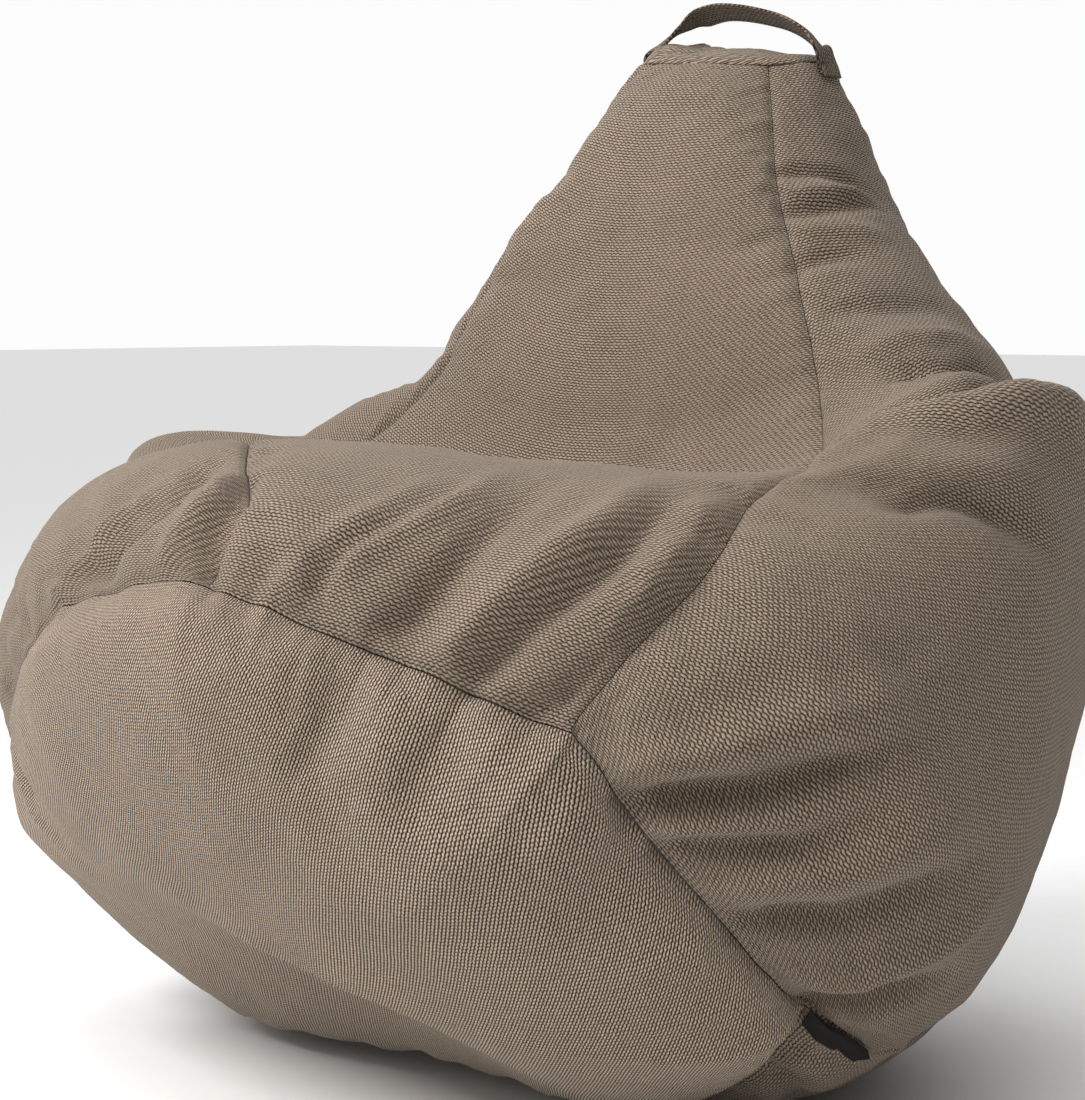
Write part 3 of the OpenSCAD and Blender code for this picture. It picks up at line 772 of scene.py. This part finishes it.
def capped_tube(name, rings, ends):
    """A closed tube through rings of points, with a fan of triangles round each end point."""
    rows, cols = rings.shape[:2]
    faces = grid_faces(rows, cols, joined=True).tolist()
    first, last = rows * cols, (rows - 1) * cols
    for k in range(cols):
        j = (k + 1) % cols
        faces.append([first, j, k])
        faces.append([first + 1, last + k, last + j])
    return new_mesh(name, np.concatenate([rings.reshape(-1, 3), ends]), faces)


def smooth_and_paint(piece, paint, weave=None):
    """Smooth faces, a material, and each point's place in the weave of the cloth."""
    piece.data.polygons.foreach_set("use_smooth", [True] * len(piece.data.polygons))
    piece.data.materials.append(paint)
    if weave is not None:
        attribute = piece.data.attributes.new("weave", "FLOAT_VECTOR", "POINT")
        flat = np.zeros((len(piece.data.vertices), 3), np.float32)
        flat[:, :2] = np.tile(weave, (len(flat) // len(weave), 1))
        attribute.data.foreach_set("vector", flat.ravel())
    piece.data.update()


def crowded(count, share):
    """Numbers from 0 to 1, closer together at both ends."""
    s = np.linspace(0, 1, count)
    return s - share * np.sin(2 * math.pi * s) / (2 * math.pi)


def zip_circle():
    """Centre, axis, radius and tilt of the circle that the zip follows, as in the CAD part."""
    h = np.array([ZIP_LOW, (ZIP_LOW + ZIP_HIGH) / 2, ZIP_HIGH])
    start, middle, end = skin(h, ZIP_SEAM) - skin_normal(h, ZIP_SEAM) * 3 * MM
    u, v = middle - start, end - start
    w = np.cross(u, v)
    centre = start + (np.cross(w, u) * (v @ v) + np.cross(v, w) * (u @ u)) / (2 * (w @ w))
    axis = unit(w)
    outwards = skin_normal(h, ZIP_SEAM)[1]
    tilt = math.atan2(outwards @ axis, outwards @ unit(middle - centre))
    return centre, axis, np.linalg.norm(start - centre), tilt


ZIP_CENTRE, ZIP_AXIS, ZIP_RADIUS, ZIP_TILT = zip_circle()
# Half width of the opening over the coil, and the height over which each end closes
SLOT_HALF, SLOT_END = 6.8 * MM, 0.012


def zip_slot(h, side):
    """How far the cover's edge lies from the seam on one side, where it leaves the zip open."""
    inside = np.clip(np.minimum(h - ZIP_LOW, ZIP_HIGH - h) / SLOT_END + 1, 0, 1)
    place = skin(h, ZIP_SEAM) - ZIP_CENTRE
    radial = unit(place - ZIP_AXIS * (place @ ZIP_AXIS)[..., None])
    across = ZIP_AXIS * math.cos(ZIP_TILT) - radial * math.sin(ZIP_TILT)
    off = ((place - radial * ZIP_RADIUS) * across).sum(-1)
    return np.sqrt(inside * (2 - inside)) * (SLOT_HALF + side * off)


def gore(name, k, rows=330, cols=112):
    """One gore of the cover, from the base seam to the top seam."""
    h, u = grid(crowded(rows, 0.72) * 0.9996 + 0.0002, crowded(cols, 0.78))
    width = lengths(skin(h, k + 1e-6 + u * (1 - 2e-6)), 1)[:, -1:]
    left = right = GORE_GAP / width
    if k == ZIP_SEAM:
        left = left + zip_slot(h[:, :1], 1) / width
    if k == ZIP_SEAM - 1:
        right = right + zip_slot(h[:, :1], -1) / width
    g = k + left + (1 - left - right) * u
    flat = skin(h, g)
    normal = skin_normal(h, g)
    across, along = lengths(flat, 1), lengths(flat)
    calm = table_read(CALM, h, g)
    stand = seam_profile(across, along, k % SEAMS, calm)
    stand += seam_profile(across[:, -1:] - across, along, (k + 1) % SEAMS, calm)
    # beside the base and cap seams only those seams shape the edge, so that panels meet there
    past_top = along[-1:] - along
    stand *= (1 - np.exp(-along / SEAM_END)) * (1 - np.exp(-past_top / SEAM_END))
    stand += seam_profile(along, g * BASE_GORE, BASE_SEAM)
    stand += seam_profile(past_top, g * CAP_GORE, CAP_SEAM, CAP_GATHER)
    surface = flat + table_read(SHIFT, h, g) + normal * stand[..., None]
    outer, inner = on_floor(surface), on_floor(surface - normal * COVER_THICK, INNER_LIFT)
    piece = solid_sheet(name, outer, inner)
    # the wales run across a gore, so the weave's first number is the length along it
    middle = along[:, cols // 2][:, None] + 0 * across
    weave = np.stack([middle, across - across[:, -1:] / 2], -1).reshape(-1, 2)
    smooth_and_paint(piece, COVER, weave)
    return piece


def round_height(side, radius):
    """h of points at a radius, from 0 to 1, on the base (side -1) or the cap (side 1)."""
    return -1 + radius ** (1 / BASE_SPREAD) if side < 0 else 2 - radius


def disc_points(count):
    """A square grid laid over a disc: the radius from 0 to 1 and the gore number of each point."""
    s = crowded(count, 0.35) * 2 - 1
    a, b = grid(s, s)
    radius = np.maximum(np.abs(a), np.abs(b))
    safe = np.maximum(radius, 1e-12)
    quarter = np.where(np.abs(a) >= np.abs(b), np.where(a > 0, b / safe, 4 - b / safe),
                       np.where(b > 0, 2 - a / safe, 6 + a / safe))
    return radius, (quarter % 8) * SEAMS / 8


def round_weave(side, radius, g, centre):
    """Weave of a round panel: each point keeps its distance from the middle along the surface."""
    rows, spokes = 60, 180
    steps, turns = np.linspace(0, 1, rows), np.linspace(0, SEAMS, spokes + 1)[:-1]
    s, t = grid(steps, turns)
    places = skin(round_height(side, s), t)
    to_rim = places[-1] - centre
    plane = facing(CAP_RING) if side > 0 else (BASE_ACROSS, BASE_DOWN)
    angle = np.unwrap(np.arctan2(to_rim @ plane[1], to_rim @ plane[0]))
    angle = np.append(angle, angle[0] + np.sign(angle[-1] - angle[0]) * 2 * math.pi)
    col = g / SEAMS * spokes
    length = bilinear(closed(lengths(places)), radius * (rows - 1), col)
    turn = np.interp(col, np.arange(spokes + 1), angle)
    return np.stack([length * np.cos(turn), length * np.sin(turn)], -1)


def round_panel(name, side, count):
    """The base (side -1) or the cap (side 1), on a square grid so that it has no pole."""
    base = side < 0
    radius, g = disc_points(count)
    h = round_height(side, radius)
    h = np.clip(h, -1, -0.0003) if base else np.clip(h, 1.0003, 2)
    flat, normal = skin(h, g), skin_normal(h, g)
    centre = skin(-1.0 if base else 2.0, 0.0)
    rim = skin(-1e-6 if base else 1 + 1e-6, g)
    inwards = np.linalg.norm(rim - centre, axis=-1) * (1 - radius)
    normal_middle = BASE_NORMAL if base else CAP_NORMAL
    toward = ease(radius / 0.12)[..., None]
    normal = unit(normal * toward + normal_middle * (1 - toward))
    if base:
        stand = seam_profile(inwards, g * BASE_GORE, BASE_SEAM, BASE_GATHER)
    else:
        stand = seam_profile(inwards, g * CAP_GORE, CAP_SEAM, CAP_GATHER)
        stand = stand - CAP_DIP * ease((1 - radius) / 0.5)
    surface = flat + table_read(SHIFT, h, g) + normal * stand[..., None]
    outer, inner = on_floor(surface), on_floor(surface - normal * COVER_THICK, INNER_LIFT)
    if not base:
        outer, inner = outer[::-1], inner[::-1]
    piece = solid_sheet(name, outer, inner)
    weave = round_weave(side, radius, g, centre).reshape(-1, 2)
    if base:
        turn = np.array([[BASE_GRAIN[0], -BASE_GRAIN[1]], [BASE_GRAIN[1], BASE_GRAIN[0]]])
        weave = weave @ turn
    smooth_and_paint(piece, LIT_COVER_BASE if base else COVER, weave)
    return piece


def cover_piece(piece, node):
    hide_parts(node)
    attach(piece, "bag")


GORES = ["front_gore", "front_right_gore", "back_right_gore", "back_gore",
         "back_left_gore", "front_left_gore"]
for number, node in enumerate(GORES):
    cover_piece(gore("knit_" + node, number), node)
cover_piece(round_panel("knit_base_panel", -1, 200), "base_panel")
cover_piece(round_panel("knit_top_cap", 1, 60), "top_cap")


# ------------------------ liner and fill
# Depth of the liner in the cover, and of the fill in the liner
INSIDE, FILL_DEPTH = 15 * MM, 3 * MM
LINER_THICK = 1 * MM
# Least heights of the liner's two faces and of the fill
LINER_LIFT, LINER_INNER_LIFT, FILL_LIFT = 0.004, 0.005, 0.006


def inner_piece(piece, node, paint):
    smooth_and_paint(piece, paint)
    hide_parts(node)
    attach(piece, "bag")


def liner_faces(h, g, depth):
    """Outer and inner grids of points of a piece of the liner."""
    return (on_floor(cloth_point(h, g, depth), LINER_LIFT),
            on_floor(cloth_point(h, g, depth + LINER_THICK), LINER_INNER_LIFT))


def liner_sheet(name, node, first, span, low, high, depth, rows, cols):
    h, g = grid(np.linspace(low, high, rows), first + np.linspace(0.002, span - 0.002, cols))
    piece = solid_sheet(name, *liner_faces(h, g, depth))
    inner_piece(piece, node, LINER)


def liner_disc(name, node, side, depth):
    radius, g = disc_points(50)
    h = round_height(side, radius)
    h = np.clip(h, -1, -0.002) if side < 0 else np.clip(h, 1.002, 2)
    outer, inner = liner_faces(h, g, depth)
    if side > 0:
        outer, inner = outer[::-1], inner[::-1]
    piece = solid_sheet(name, outer, inner)
    inner_piece(piece, node, LINER)


def bead_bag(name, depth):
    h = np.concatenate([np.linspace(-0.99, -0.02, 30), np.linspace(0, 0.975, 110)])
    h, g = grid(h, np.arange(150) * SEAMS / 150)
    rings = on_floor(cloth_point(h, g, depth), FILL_LIFT)
    piece = capped_tube(name, rings, np.stack([rings[0].mean(0), rings[-1].mean(0)]))
    inner_piece(piece, "bead_fill", BEADS)


bead_bag("bead_filling", INSIDE + FILL_DEPTH)
for side, first in (("left", 3.5), ("right", 0.5)):
    liner_sheet("liner_cloth_" + side, "liner_" + side, first, 3, 0.003, 0.985, INSIDE,
                160, 150)
liner_disc("liner_cloth_base", "liner_base", -1, INSIDE)
liner_disc("liner_cloth_top", "liner_top", 1, CAP_DIP + 6 * MM)
liner_sheet("liner_closure_strip", "liner_closure", 3.45, 0.1, 0.5, 0.73, INSIDE - 3 * MM,
            40, 8)


# ------------------------ carry strap
STRAP_WIDTH, STRAP_THICK = 26 * MM, 4 * MM
LEFT_TAB, RIGHT_TAB = 5.207, 1.571
# The sewn ends: rows of the skin that they lie on, and how far they stand over it
TAB_ROWS, TAB_LIFT = np.array([0.976, 0.983, 0.990]), 1.2 * MM
# Middle line of the loop from its left end to its right end, along the handle and up, in
# millimetres. It is highest left of its middle and falls off to the right.
LOOP = np.array([
    [-98, 0], [-86, 8], [-72, 16], [-58, 23], [-44, 29], [-20, 34], [4, 32.5], [32, 27], [56, 20],
    [76, 9], [90, -4]])
STRAP_ROWS, STRAP_COLS = 220, 56
# Shares of the strap's length where it turns from and to its sewn ends, and over which it turns
TURN_LEFT, TURN_RIGHT, TURN_OVER = 0.08, 0.80, 0.12
# Two lines of stitches: their distance from the middle, half width, depth and pitch
STITCH_LINE, STITCH_HALF, STITCH_DEPTH, STITCH_PITCH = 9.2 * MM, 0.9 * MM, 0.9 * MM, 3.2 * MM
EDGE_CURL = 0.0016


def smooth_line(knots, count):
    """A smoothed curve along the knots, with points the same distance apart, and its run."""
    line = curve(knots, np.linspace(0, len(knots) - 1, count) / (len(knots) - 1))
    for _ in range(6):
        line[1:-1] = line[1:-1] * 0.5 + (line[:-2] + line[2:]) * 0.25
    return evenly(line, count)


def strap_path():
    """Middle line of the strap, length along it, and unit vectors across its width and depth."""
    tabs = np.array([LEFT_TAB, RIGHT_TAB])
    ends = skin(1.0, tabs) + skin_normal(1.0, tabs) * STRAP_THICK
    along = unit(ends[1] - ends[0])
    back = unit(np.cross([0, 0, 1], along))
    up = np.cross(along, back)
    loop = ends.mean(0) + (LOOP[:, :1] * along + LOOP[:, 1:] * up) * MM
    left = cloth_point(TAB_ROWS, np.full(3, LEFT_TAB), -TAB_LIFT)
    right = cloth_point(TAB_ROWS[::-1], np.full(3, RIGHT_TAB), -TAB_LIFT)
    line, run = smooth_line(np.concatenate([left, loop, right]), STRAP_ROWS)
    tangent = unit(np.gradient(line, axis=0))
    tab_left = unit(skin(0.97, LEFT_TAB - 0.05) - skin(0.97, LEFT_TAB + 0.05))
    tab_right = unit(skin(0.97, RIGHT_TAB + 0.05) - skin(0.97, RIGHT_TAB - 0.05))
    at = np.linspace(0, 1, STRAP_ROWS)[:, None]
    off_left = ease((at - TURN_LEFT) / TURN_OVER)
    to_right = ease((at - TURN_RIGHT) / TURN_OVER)
    wide = tab_left * (1 - off_left) + tab_right * to_right
    wide = wide + back * (off_left - to_right)
    # it leans one way near its left end, and the other way over the rest of the loop
    lean = 0.50 * np.exp(-((at - 0.20) / 0.07) ** 2)
    lean = lean - 0.52 * ease((at - 0.29) / 0.09) * (1 - ease((at - 0.84) / 0.10))
    wide = unit(wide - tangent * (wide * tangent).sum(1)[:, None])
    deep = np.cross(tangent, wide)
    c, s = np.cos(lean), np.sin(lean)
    return line, run, wide * c + deep * s, deep * c - wide * s


def strap():
    line, run, wide, thick = strap_path()
    # flat faces, round edges and a stitched groove near both edges
    around = np.arange(STRAP_COLS) * 2 * math.pi / STRAP_COLS
    c, s = np.cos(around), np.sin(around)
    across = np.sign(c) * np.abs(c) ** 0.55 * STRAP_WIDTH / 2
    deep = np.sign(s) * np.abs(s) ** 0.45 * STRAP_THICK / 2
    groove = np.exp(-((np.abs(across) - STITCH_LINE) / STITCH_HALF) ** 2)
    stitch = 0.65 + 0.35 * np.cos(run[:, None] * 2 * math.pi / STITCH_PITCH)
    dip = groove[None] * stitch * STITCH_DEPTH
    off_middle = np.abs(across) / (STRAP_WIDTH / 2)
    swell = 0.5 * MM * np.sin(run[:, None] / (11 * MM)) * (1 - off_middle ** 2)[None]
    height = deep[None] - np.sign(deep)[None] * dip + swell
    # its edges curl down a little, as a soft strap's do
    height = height - EDGE_CURL * off_middle ** 2
    rings = line[:, None] + wide[:, None] * across[None, :, None] + thick[:, None] * height[..., None]
    piece = capped_tube("carry_strap", rings, line[[0, -1]])
    weave = np.stack(grid(run, across)[::-1], -1)
    smooth_and_paint(piece, STRAP, np.concatenate([weave.reshape(-1, 2), [[0, 0], [0, run[-1]]]]))
    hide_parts("handle_strap", "handle_end_left", "handle_end_right")
    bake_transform(piece)


strap()


# ------------------------ label
LABEL_LENGTH, LABEL_WIDTH, LABEL_THICK = 0.082, 0.028, 0.9 * MM
# How far up from the base seam the label starts, and the share of its width left of its seam
LABEL_FOOT, LABEL_LEFT = 0.004, 0.3


def side_label():
    rows, cols = 60, 26
    run_h = np.linspace(0, 0.3, 200)
    run = lengths(skin(run_h, LABEL_SEAM))
    h = np.interp(LABEL_FOOT + np.linspace(0, LABEL_LENGTH, rows), run, run_h)
    metres_per_gore = np.linalg.norm(skin(0.05, 2.05) - skin(0.05, 1.95)) / 0.1
    across = np.linspace(0, LABEL_WIDTH, cols) - LABEL_LEFT * LABEL_WIDTH
    h, g = grid(h, LABEL_SEAM + across / metres_per_gore)
    wave = (0.0006 * np.sin(np.linspace(0, 7, rows))[:, None]
            + 0.0004 * np.sin(np.linspace(0, 5, cols))[None])
    lift = -(1.0 * MM + wave)
    outer, inner = cloth_point(h, g, lift), cloth_point(h, g, lift + LABEL_THICK)
    piece = solid_sheet("woven_label", on_floor(outer), on_floor(inner))
    weave = grid(np.linspace(0, LABEL_LENGTH, rows), np.linspace(0, LABEL_WIDTH, cols))
    weave = np.stack(weave[::-1], -1).reshape(-1, 2)
    smooth_and_paint(piece, LABEL, weave)
    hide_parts("side_label")
    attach(piece, "bag")


side_label()


# ------------------------ zip
# The zip keeps its CAD solids, with materials of their own
for paint, nodes in ((ZIP_TAPE, ("zip_tape_left", "zip_tape_right")),
                     (ZIP_NYLON, ("zip_coil_left", "zip_coil_right")),
                     (ZIP_METAL, ("zip_slider", "zip_pull", "zip_top_stop", "zip_bottom_stop"))):
    for node in nodes:
        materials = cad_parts[node].data.materials
        materials.clear()
        materials.append(paint)


# ------------------------ floor, light and camera
FLOOR_HALF, FLOOR_DEPTH = 30.0, 0.0005
AZIMUTH, ELEVATION = math.radians(41.3), math.radians(4.2)
TARGET = Vector((0.008, -0.032, 0.45))
DISTANCE = 2.56
BACK = Vector((math.sin(AZIMUTH) * math.cos(ELEVATION), -math.cos(AZIMUTH) * math.cos(ELEVATION),
               math.sin(ELEVATION)))
RIGHT = Vector((math.cos(AZIMUTH), math.sin(AZIMUTH), 0))
UP = BACK.cross(RIGHT)
# Parts of the sky: a direction, the cosines to it where the part starts and is full, and its
# strength. The right side stays dark.
SKY = ((-RIGHT, -0.55, -0.25, 0.78), (-BACK, 0.60, 0.92, 0.20),
       (Vector((0, 0, 1)), 0.45, 0.90, 0.42))


def flat_material(name, colour):
    m = look(name)
    speck = m.noise(m.place(), 30, 2)
    darker = tuple(c * 0.985 for c in colour)
    m.shade(Base_Color=m.ramp(speck, [(0.3, colour), (0.7, darker)]), Roughness=0.9,
            Specular_IOR_Level=0.1)
    return m.owner


corners = np.array([[-1, -1, 0], [1, -1, 0], [1, 1, 0], [-1, 1, 0]]) * FLOOR_HALF
floor = new_mesh("floor", corners, [[0, 1, 2, 3]])
floor.location.z = -FLOOR_DEPTH
floor.data.materials.append(flat_material("pale_floor", (0.90, 0.90, 0.90)))


def light_sky():
    world = bpy.data.worlds.new("studio")
    bpy.context.scene.world = world
    m = Graph(world, "Background")
    place = m.node("TexCoord").outputs["Generated"]
    level = 0.0
    for direction, low, high, strength in SKY:
        dot = m.node("VectorMath")
        dot.operation = "DOT_PRODUCT"
        m.set(dot.inputs[0], place)
        m.set(dot.inputs[1], direction)
        spread = m.node("MapRange", Value=dot.outputs["Value"], From_Min=low, From_Max=high)
        spread.interpolation_type = "SMOOTHSTEP"
        level = m.math("MULTIPLY_ADD", spread.outputs["Result"], strength, level)
    m.shade(Strength=level, Color=(1.0, 1.0, 1.0, 1))


def lamp(name, right, up, back, size, power):
    """A square soft light, placed from the camera's point of view and turned to the bag."""
    data = bpy.data.lights.new(name, "AREA")
    data.size = size
    data.energy = power
    lamp_object = bpy.data.objects.new(name, data)
    bpy.context.scene.collection.objects.link(lamp_object)
    lamp_object.location = TARGET + RIGHT * right + UP * up + BACK * back
    lamp_object.rotation_euler = (lamp_object.location - TARGET).to_track_quat("Z", "Y").to_euler()


light_sky()
lamp("key", -2.0, 1.8, 1.2, 1.3, 78)
lamp("top", -0.5, 2.6, -0.7, 1.3, 10)
lamp("front", 0.0, 2.2, 1.8, 1.3, 15)

camera_data = bpy.data.cameras.new("camera")
camera = bpy.data.objects.new("camera", camera_data)
bpy.context.scene.collection.objects.link(camera)
camera.location = TARGET + BACK * DISTANCE
camera.rotation_euler = BACK.to_track_quat("Z", "Y").to_euler()
camera_data.sensor_fit = "HORIZONTAL"
camera_data.sensor_width = 36
camera_data.lens = 103.2
camera_data.shift_x = 0.039
camera_data.shift_y = -0.019
camera_data.clip_end = 100
bpy.context.scene.camera = camera
bpy.context.scene.view_settings.view_transform = "Standard"
